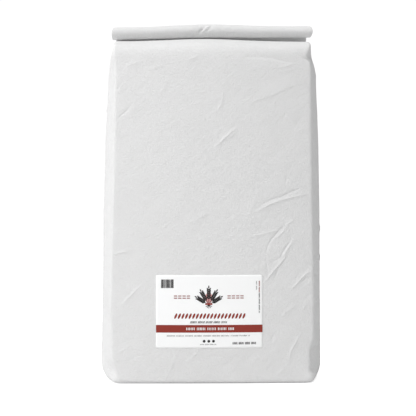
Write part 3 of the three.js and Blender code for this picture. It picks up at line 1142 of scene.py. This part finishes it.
class FlourLabelSettings(bpy.types.PropertyGroup):
    """Sizes and inks of the label."""

    width: bpy.props.FloatProperty(
        name="Width", description="Width of the label", default=0.149, unit="LENGTH"
    )
    height: bpy.props.FloatProperty(
        name="Height", description="Height of the label", default=0.102, unit="LENGTH"
    )
    stock_colour: colour_property("Label colour", "Colour of the label's own paper", (0.93, 0.935, 0.935))
    band_colour: colour_property(
        "Band colour", "Colour of the band and the kernels", (0.265, 0.033, 0.022)
    )
    dark_colour: colour_property("Dark ink", "Colour of the dark print", (0.028, 0.026, 0.026))
    grey_colour: colour_property("Grey ink", "Colour of the fine print", (0.2, 0.19, 0.19))
    pink_colour: colour_property("Pink ink", "Colour of the lozenge", (0.62, 0.3, 0.29))


class FlourStageSettings(bpy.types.PropertyGroup):
    """The floor, the light and the camera."""

    camera_distance: bpy.props.FloatProperty(
        name="Camera distance", description="From the bag's middle", default=1.7, unit="LENGTH"
    )
    camera_height: bpy.props.FloatProperty(
        name="Camera height", description="Above the floor", default=0.247, unit="LENGTH"
    )
    camera_azimuth: bpy.props.FloatProperty(
        name="Camera azimuth",
        description="Turn round the bag, 0 in front",
        default=math.radians(-2.5),
        subtype="ANGLE",
    )
    lens: bpy.props.FloatProperty(
        name="Lens", description="Focal length on a 36 mm sensor, in millimetres", default=100.8
    )
    side_power: bpy.props.FloatProperty(
        name="Side light", description="Power of the soft light at the left, in watts", default=45.0
    )
    key_power: bpy.props.FloatProperty(
        name="Key light", description="Power of the high soft light at the left, in watts", default=203.0
    )
    back_power: bpy.props.FloatProperty(
        name="Back light", description="Power of the soft light behind the bag, in watts", default=58.0
    )
    top_power: bpy.props.FloatProperty(
        name="Top light", description="Power of the high soft light in front, in watts", default=230.0
    )
    fill_level: bpy.props.FloatProperty(
        name="Fill", description="Brightness of the light from all round", default=0.385
    )
    floor_glow: bpy.props.FloatProperty(
        name="Floor glow", description="How far the floor is washed out to white", default=0.68
    )
    floor_colour: colour_property("Floor colour", "Colour of the pale floor", (0.9, 0.9, 0.9))


def label_top_left(label):
    """The label's top left corner, across and up, in metres."""
    return LABEL_CENTRE_X * MM - label.width / 2, LABEL_CENTRE_Z * MM + label.height / 2


class FLOURBAG_OT_shell(bpy.types.Operator):
    """Make the filled paper bag with its folds, seam, pleats and rolled top"""

    bl_idname = "flour_bag.shell"
    bl_label = "Paper bag"

    def execute(self, context):
        settings = context.scene.flour_bag
        label = context.scene.flour_label
        label_size = (label.width / MM, label.height / MM)
        places = {
            "front": even_places(settings.front_columns),
            "right": even_places(GUSSET_COLUMNS),
            "back": back_places(BACK_COLUMNS),
            "left": even_places(GUSSET_COLUMNS),
        }
        sections = body_sections(BASE_ROWS, settings.body_rows, ROOF_ROWS)
        sections += ledge_sections(LEDGE_ROWS) + roll_sections(ROLL_ROWS_PER_TURN)
        points = np.array([section_loop(section, places, CREASE_COLUMNS) for section in sections])
        rows, columns = points.shape[:2]
        faces = loop_faces(rows, columns)
        faces.append(tuple(reversed(range(columns))))
        faces.append(tuple(range((rows - 1) * columns, rows * columns)))
        mesh = mesh_from_arrays("bag_paper", points.reshape(-1, 3), faces)
        refine_at_creases(mesh, settings.fold_cuts)

        points = vertex_array(mesh.vertices, "co") / MM
        normals = vertex_array(mesh.vertex_normals, "vector")
        relief = paper_relief(points, normals, settings.crease_strength, label_size)
        points += normals * relief[:, None]
        points[:, 2] = np.maximum(points[:, 2], BASE_LIFT)
        mesh.vertices.foreach_set("co", (points * MM).ravel().astype(np.float32))
        mesh.update()
        ripple = mesh.attributes.new("ripple", "FLOAT", "POINT")
        ripple.data.foreach_set("value", ripple_mask(points, label_size).astype(np.float32))

        paper = paper_material(
            "bleached_paper",
            settings.paper_colour,
            cloudiness=0.05,
            grain=0.0009,
            streak=0.0006,
            specular=0.25,
        )
        rippled = mesh_from_tree(
            paper_ripple_tree(),
            "bag_paper",
            {"Ripple Height": settings.ripple_height, "Material": paper},
            mesh,
        )
        link_piece("bag_paper", rippled, "bag")
        return {"FINISHED"}


# The pasted flaps: the layer each lies in, counted up from the floor, and its outline across and back
BASE_FLAPS = (
    (2, ((-122, -32), (-122, 38), (-72, 18), (-72, -18))),
    (2, ((122, -32), (122, 38), (72, 18), (72, -18))),
    (1, ((-114, -34), (114, -34), (84, 10), (-84, 10))),
    (0, ((-84, -10), (84, -10), (112, 40), (-112, 40))),
)


class FLOURBAG_OT_base_flaps(bpy.types.Operator):
    """Make the pasted flaps that close the bottom of the bag"""

    bl_idname = "flour_bag.base_flaps"
    bl_label = "Base flaps"

    def execute(self, context):
        shape = bmesh.new()
        for layer, outline in BASE_FLAPS:
            self.add_slab(shape, layer * FLAP_THICKNESS, (layer + 1) * FLAP_THICKNESS, outline)
        bmesh.ops.recalc_face_normals(shape, faces=shape.faces)
        mesh = mesh_from_shape("base_flaps", shape)
        mesh.materials.append(bpy.data.materials["bleached_paper"])
        link_piece("base_flaps", mesh)
        return {"FINISHED"}

    @staticmethod
    def add_slab(shape, low, high, outline):
        """Adds one flap as a thin closed slab between two heights, in millimetres."""
        lower = [shape.verts.new((x * MM, y * MM, low * MM)) for x, y in outline]
        upper = [shape.verts.new((x * MM, y * MM, high * MM)) for x, y in outline]
        shape.faces.new(lower)
        shape.faces.new(upper)
        for i in range(len(outline)):
            after = (i + 1) % len(outline)
            shape.faces.new((lower[i], lower[after], upper[after], upper[i]))


class FLOURBAG_OT_label(bpy.types.Operator):
    """Make the blank label, stuck to the front panel"""

    bl_idname = "flour_bag.label"
    bl_label = "Label"

    def execute(self, context):
        label = context.scene.flour_label
        shape = bmesh.new()
        front = self.add_layer(shape, label, LABEL_FRONT_GAP * MM)
        back = self.add_layer(shape, label, LABEL_BACK_GAP * MM)
        for row in range(LABEL_ROWS):
            for column in range(LABEL_COLUMNS):
                quad = [(row, column), (row + 1, column), (row + 1, column + 1), (row, column + 1)]
                shape.faces.new([front[place] for place in quad])
                shape.faces.new([back[place] for place in reversed(quad)])
        rim = [(0, column) for column in range(LABEL_COLUMNS)]
        rim += [(row, LABEL_COLUMNS) for row in range(LABEL_ROWS)]
        rim += [(LABEL_ROWS, column) for column in range(LABEL_COLUMNS, 0, -1)]
        rim += [(row, 0) for row in range(LABEL_ROWS, 0, -1)]
        for here, after in zip(rim, rim[1:] + rim[:1]):
            shape.faces.new((front[here], front[after], back[after], back[here]))
        on_bag = surface_tree(bpy.data.objects["bag_paper"].data)
        for vertex in shape.verts:
            vertex.co.y += depth_at(on_bag, vertex.co.x, vertex.co.z)
        bmesh.ops.recalc_face_normals(shape, faces=shape.faces)
        for face in shape.faces:
            face.smooth = True
        mesh = mesh_from_shape("label_sheet", shape)
        stock = paper_material(
            "label_stock", label.stock_colour, cloudiness=0.01, grain=0.00001, streak=0.0, specular=0.4
        )
        mesh.materials.append(stock)
        link_piece("label_sheet", mesh, "label")
        return {"FINISHED"}

    @staticmethod
    def add_layer(shape, label, gap):
        """Adds a flat grid of points with its corners cut a little; a point's row and column find it."""
        left, top = label_top_left(label)
        points = {}
        for row in range(LABEL_ROWS + 1):
            for column in range(LABEL_COLUMNS + 1):
                cut = LABEL_CORNER_CUT * MM * (row in (0, LABEL_ROWS) and column in (0, LABEL_COLUMNS))
                x = left + label.width * column / LABEL_COLUMNS + (cut if column == 0 else -cut)
                z = top - label.height * row / LABEL_ROWS + (cut if row else -cut)
                points[row, column] = shape.verts.new((x, -gap, z))
        return points


# Places on the label are given from its top left corner, to the right and down, in millimetres
BAND_EDGE = 0.15
BAND_TOP = 69.6
BAND_FOOT = 80.3
STRIP_PIECE = 6.0  # a strip is made in pieces this long, to bend with the panel
LOZENGE = ((73.6, 21.0), (66.6, 32.0), (73.6, 43.0), (80.6, 32.0))
TIE = ((68.6, 39.4), (68.6, 41.6), (78.6, 41.6), (78.6, 39.4))
RULE_STARTS = (25, 31, 37, 43, 99.6, 105.6, 111.6, 117.6)
RULE_TOPS = (28.6, 31.6)
RULE_LENGTH = 4.6
RULE_HEIGHT = 1.2
SHEAF_FOOT = (73.6, 46.5)
SHEAF_TURN = 5.0  # the ears fan out from this height above the foot
EAR_LENGTH = 14.5
EAR_STEM = 12.5

# Each ear's lean, in radians, and its length as a share of the middle one's
EARS = ((-1.02, 0.86), (-0.52, 0.93), (0.0, 1.0), (0.52, 0.93), (1.02, 0.86))

# How far each kind of print lies in front of the label, so that none fights another, in millimetres
BAND_GAP = 0.06
LOZENGE_GAP = 0.06
ROW_GAP = 0.12
SHEAF_GAP = 0.14
TIE_GAP = 0.2


def ink(name, colour):
    """An ink for the label, made once."""
    made = bpy.data.materials.get(name)
    return made or paper_material(name, colour, cloudiness=0.05, grain=0.00001, streak=0.0, specular=0.35)


def flat_polygon(shape, label, outline, cells=1):
    """Adds a flat shape on the label to a bmesh, divided into cells."""
    left, top = label_top_left(label)
    corners = [shape.verts.new((left + across * MM, 0.0, top - down * MM)) for across, down in outline]
    face = shape.faces.new(corners)
    if cells > 1:
        bmesh.ops.subdivide_edges(shape, edges=face.edges[:], cuts=cells - 1, use_grid_fill=True)


def print_on_label(name, mesh, on_label, gap, material=None):
    """Lays a flat mesh on the label and makes it a piece, in this ink unless it has one."""
    lay_on(mesh, on_label, gap * MM)
    if material:
        mesh.materials.append(material)
    link_piece(name, mesh)


@dataclass(frozen=True)
class PrintRow:
    """A line of bars or kernels that stands in for print. across and down are its middle's place."""

    ink: str
    across: float
    down: float
    length: float
    height: float
    pitch: float
    group: int
    fullness: float = 0.62
    unevenness: float = 0.5
    slant: float = 0.0
    upright: bool = False
    rounded: bool = False


PRINT_ROWS = (
    PrintRow("brick_ink", 74.2, 57.2, 103.0, 8.4, 5.0, 99, 0.6, 0.0, 0.42, rounded=True),
    PrintRow("brick_ink", 76.7, 57.2, 98.0, 3.4, 5.0, 99, 0.3, 0.0, 0.42, rounded=True),
    PrintRow("dark_ink", 73.0, 65.8, 52.0, 3.2, 1.35, 8, 0.62, 0.4, 0.35),
    PrintRow("label_stock", 75.3, 75.0, 69.0, 3.5, 2.1, 7, 0.62, 0.4),
    PrintRow("grey_ink", 73.0, 84.8, 117.0, 1.9, 1.15, 11, 0.6, 0.5),
    PrintRow("dark_ink", 73.7, 92.4, 26.0, 3.9, 6.5, 99, 0.62, 0.0, rounded=True),
    PrintRow("grey_ink", 73.0, 97.0, 24.0, 1.5, 0.95, 7, 0.62, 0.5),
    PrintRow("dark_ink", 124.1, 95.4, 36.5, 3.3, 1.45, 6, 0.74, 0.35),
    PrintRow("grey_ink", 140.4, 15.2, 14.5, 1.5, 0.95, 7, 0.68, 0.4, 0.0, True),
    PrintRow("brick_ink", 144.3, 16.0, 16.5, 1.8, 1.0, 9, 0.74, 0.35, 0.0, True),
    PrintRow("dark_ink", 144.3, 38.6, 29.0, 1.7, 0.95, 9, 0.7, 0.4, 0.0, True),
)
STRIPE_CODE = PrintRow("dark_ink", 15.8, 12.2, 17.8, 11.9, 0.62, 99, 1.0, 0.6)
STRIPE_SEED = 40


class FLOURBAG_OT_label_print(bpy.types.Operator):
    """Print the label: a colour band, rows of plain bars and kernels, and a code of stripes"""

    bl_idname = "flour_bag.label_print"
    bl_label = "Label print"

    def execute(self, context):
        label = context.scene.flour_label
        on_label = surface_tree(bpy.data.objects["label_sheet"].data)
        inks = {
            "brick_ink": ink("brick_ink", label.band_colour),
            "dark_ink": ink("dark_ink", label.dark_colour),
            "grey_ink": ink("grey_ink", label.grey_colour),
            "label_stock": bpy.data.materials["label_stock"],
        }
        self.make_band(label, on_label, inks["brick_ink"])
        bars = bar_row_tree()
        rows = [(f"label_row_{number}", row, number) for number, row in enumerate(PRINT_ROWS, 1)]
        for name, row, seed in [*rows, ("label_stripe_code", STRIPE_CODE, STRIPE_SEED)]:
            mesh = self.make_row(label, bars, name, row, seed, inks[row.ink])
            print_on_label(name, mesh, on_label, ROW_GAP)
        return {"FINISHED"}

    @staticmethod
    def make_band(label, on_label, material):
        """Makes the band in pieces short enough to bend with the panel."""
        start, end = BAND_EDGE, label.width / MM - BAND_EDGE
        count = round((end - start) / STRIP_PIECE)
        shape = bmesh.new()
        for i in range(count):
            a, b = lerp(start, end, i / count), lerp(start, end, (i + 1) / count)
            flat_polygon(shape, label, [(a, BAND_TOP), (a, BAND_FOOT), (b, BAND_FOOT), (b, BAND_TOP)])
        bmesh.ops.remove_doubles(shape, verts=shape.verts, dist=1e-6)
        print_on_label("label_band", mesh_from_shape("label_band", shape), on_label, BAND_GAP, material)

    @staticmethod
    def make_row(label, bars, name, row, seed, material):
        """Makes one row flat in its place on the label."""
        values = {
            "Length": row.length * MM,
            "Bar Height": row.height * MM,
            "Pitch": row.pitch * MM,
            "Fullness": row.fullness,
            "Unevenness": row.unevenness,
            "Group Size": row.group,
            "Slant": row.slant,
            "Rounded": row.rounded,
            "Seed": seed,
            "Material": material,
        }
        mesh = mesh_from_tree(bars, name, values)
        left, top = label_top_left(label)
        for vertex in mesh.vertices:
            across, up = vertex.co.x, vertex.co.z
            if row.upright:
                across, up = up, -across
            vertex.co = (left + row.across * MM + across, 0.0, top - row.down * MM + up)
        return mesh


class FLOURBAG_OT_emblem(bpy.types.Operator):
    """Print a plain sheaf of grain on the label, with a lozenge behind it and a rule each side"""

    bl_idname = "flour_bag.emblem"
    bl_label = "Sheaf emblem"

    def execute(self, context):
        label = context.scene.flour_label
        on_label = surface_tree(bpy.data.objects["label_sheet"].data)
        self.make_sheaf(label, on_label, ink("dark_ink", label.dark_colour))

        shape = bmesh.new()
        flat_polygon(shape, label, LOZENGE, 6)
        mesh = mesh_from_shape("label_lozenge", shape)
        print_on_label("label_lozenge", mesh, on_label, LOZENGE_GAP, ink("pink_ink", label.pink_colour))

        shape = bmesh.new()
        flat_polygon(shape, label, TIE)
        for start in RULE_STARTS:
            for top in RULE_TOPS:
                end, foot = start + RULE_LENGTH, top + RULE_HEIGHT
                flat_polygon(shape, label, [(start, top), (start, foot), (end, foot), (end, top)])
        mesh = mesh_from_shape("label_tie_and_rules", shape)
        brick = ink("brick_ink", label.band_colour)
        print_on_label("label_tie_and_rules", mesh, on_label, TIE_GAP, brick)
        return {"FINISHED"}

    @staticmethod
    def make_sheaf(label, on_label, dark):
        """Makes the ears of grain, fanned out from their foot."""
        left, top = label_top_left(label)
        ear = grain_ear_tree()
        sheaf = bmesh.new()
        for lean, length in EARS:
            values = {
                "Pairs": 6,
                "Ear Length": EAR_LENGTH * MM * length,
                "Stem Length": EAR_STEM * MM * length,
                "Stem Width": 0.8 * MM,
                "Kernel Length": 4.4 * MM,
                "Material": dark,
            }
            one = mesh_from_tree(ear, "ear", values)
            for vertex in one.vertices:
                across, up = vertex.co.x, vertex.co.z - SHEAF_TURN * MM
                vertex.co.x = across * math.cos(lean) + up * math.sin(lean)
                vertex.co.z = up * math.cos(lean) - across * math.sin(lean) + SHEAF_TURN * MM
            sheaf.from_mesh(one)
            bpy.data.meshes.remove(one)
        for vertex in sheaf.verts:
            vertex.co.x += left + SHEAF_FOOT[0] * MM
            vertex.co.z += top - SHEAF_FOOT[1] * MM
        print_on_label("label_sheaf", mesh_from_shape("label_sheaf", sheaf), on_label, SHEAF_GAP, dark)


# Each soft light's place and size, in metres
SOFTBOXES = {
    "side": ((-5.0, -1.2, 1.3), 3.2),
    "key": ((-4.6, -3.6, 5.8), 4.4),
    "back": ((-4.6, 3.0, 2.6), 3.2),
    "top": ((-1.0, -2.6, 6.4), 4.4),
}
LIGHT_AIM_HEIGHT = 0.28
FLOOR_RADIUS = 30.0
BACKDROP_BRIGHTNESS = 1.05
CAMERA_AIM_X = -0.0042


class FLOURBAG_OT_stage(bpy.types.Operator):
    """Set up the pale floor, the soft light and the camera"""

    bl_idname = "flour_bag.stage"
    bl_label = "Studio"

    def execute(self, context):
        stage = context.scene.flour_stage
        self.make_floor(stage)
        self.make_surroundings(stage)
        for name, (place, size) in SOFTBOXES.items():
            self.make_softbox(f"{name}_softbox", getattr(stage, f"{name}_power"), place, size)
        self.make_camera(context, stage)
        context.scene.view_settings.view_transform = "Standard"
        return {"FINISHED"}

    @staticmethod
    def make_floor(stage):
        shape = bmesh.new()
        bmesh.ops.create_circle(shape, cap_ends=True, segments=96, radius=FLOOR_RADIUS)
        mesh = mesh_from_shape("studio_floor", shape)
        material = bpy.data.materials.new("studio_floor")
        material.use_nodes = True
        tree = material.node_tree
        shader = tree.nodes["Principled BSDF"]
        shader.inputs["Base Color"].default_value = (*stage.floor_colour, 1.0)
        shader.inputs["Roughness"].default_value = 0.9
        shader.inputs["Specular IOR Level"].default_value = 0.0
        shader.inputs["Emission Color"].default_value = (1.0, 1.0, 1.0, 1.0)
        path = tree.nodes.new("ShaderNodeLightPath")
        glow = maths(tree, "MULTIPLY", path.outputs["Is Camera Ray"], stage.floor_glow)
        tree.links.new(glow, shader.inputs["Emission Strength"])
        mesh.materials.append(material)
        floor = bpy.data.objects.new("studio_floor", mesh)
        bpy.context.scene.collection.objects.link(floor)

    @staticmethod
    def make_surroundings(stage):
        world = bpy.data.worlds.new("studio_fill")
        world.use_nodes = True
        tree = world.node_tree
        seen = add_node(
            tree, "ShaderNodeBackground", Color=(1.0, 1.0, 1.0, 1.0), Strength=BACKDROP_BRIGHTNESS
        )
        lit = tree.nodes["Background"]
        lit.inputs["Color"].default_value = (1.0, 1.0, 1.0, 1.0)
        lit.inputs["Strength"].default_value = stage.fill_level
        path = tree.nodes.new("ShaderNodeLightPath")
        mix = tree.nodes.new("ShaderNodeMixShader")
        tree.links.new(path.outputs["Is Camera Ray"], mix.inputs[0])
        tree.links.new(lit.outputs[0], mix.inputs[1])
        tree.links.new(seen.outputs[0], mix.inputs[2])
        tree.links.new(mix.outputs[0], tree.nodes["World Output"].inputs["Surface"])
        bpy.context.scene.world = world

    @staticmethod
    def make_softbox(name, power, place, size):
        light = bpy.data.lights.new(name, "AREA")
        light.shape = "SQUARE"
        light.size = size
        light.energy = power
        lamp = bpy.data.objects.new(name, light)
        lamp.location = place
        aim = Vector((0.0, 0.0, LIGHT_AIM_HEIGHT)) - lamp.location
        lamp.rotation_euler = aim.to_track_quat("-Z", "Y").to_euler()
        bpy.context.scene.collection.objects.link(lamp)

    @staticmethod
    def make_camera(context, stage):
        data = bpy.data.cameras.new("photo_camera")
        data.lens = stage.lens
        data.sensor_width = 36.0
        camera = bpy.data.objects.new("photo_camera", data)
        bearing = stage.camera_azimuth
        camera.location = (
            math.sin(bearing) * stage.camera_distance,
            -math.cos(bearing) * stage.camera_distance,
            stage.camera_height,
        )
        aim = Vector((CAMERA_AIM_X, 0.0, stage.camera_height)) - camera.location
        camera.rotation_euler = aim.to_track_quat("-Z", "Y").to_euler()
        context.scene.collection.objects.link(camera)
        context.scene.camera = camera


class FLOURBAG_PT_panel(bpy.types.Panel):
    """Lists the steps that make the bag"""

    bl_idname = "FLOURBAG_PT_panel"
    bl_label = "Flour bag"
    bl_space_type = "VIEW_3D"
    bl_region_type = "UI"
    bl_category = "Flour bag"

    def draw(self, context):
        for settings in (context.scene.flour_bag, context.scene.flour_label, context.scene.flour_stage):
            box = self.layout.box()
            for name in settings.__annotations__:
                box.prop(settings, name)
        for operator in OPERATORS:
            self.layout.operator(operator.bl_idname)


SETTINGS = {
    "flour_bag": FlourBagSettings,
    "flour_label": FlourLabelSettings,
    "flour_stage": FlourStageSettings,
}
OPERATORS = (
    FLOURBAG_OT_shell,
    FLOURBAG_OT_base_flaps,
    FLOURBAG_OT_label,
    FLOURBAG_OT_label_print,
    FLOURBAG_OT_emblem,
    FLOURBAG_OT_stage,
)


def register():
    """Registers the classes and their settings."""
    for cls in (*SETTINGS.values(), *OPERATORS, FLOURBAG_PT_panel):
        bpy.utils.register_class(cls)
    for name, cls in SETTINGS.items():
        setattr(bpy.types.Scene, name, bpy.props.PointerProperty(type=cls))


def unregister():
    """Takes the classes and their settings away again."""
    for name in SETTINGS:
        delattr(bpy.types.Scene, name)
    for cls in reversed((*SETTINGS.values(), *OPERATORS, FLOURBAG_PT_panel)):
        bpy.utils.unregister_class(cls)


def main():
    """Makes every piece in order."""
    register()
    bpy.ops.flour_bag.shell()
    bpy.ops.flour_bag.base_flaps()
    bpy.ops.flour_bag.label()
    bpy.ops.flour_bag.label_print()
    bpy.ops.flour_bag.emblem()
    bpy.ops.flour_bag.stage()


if __name__ == "__main__":
    main()
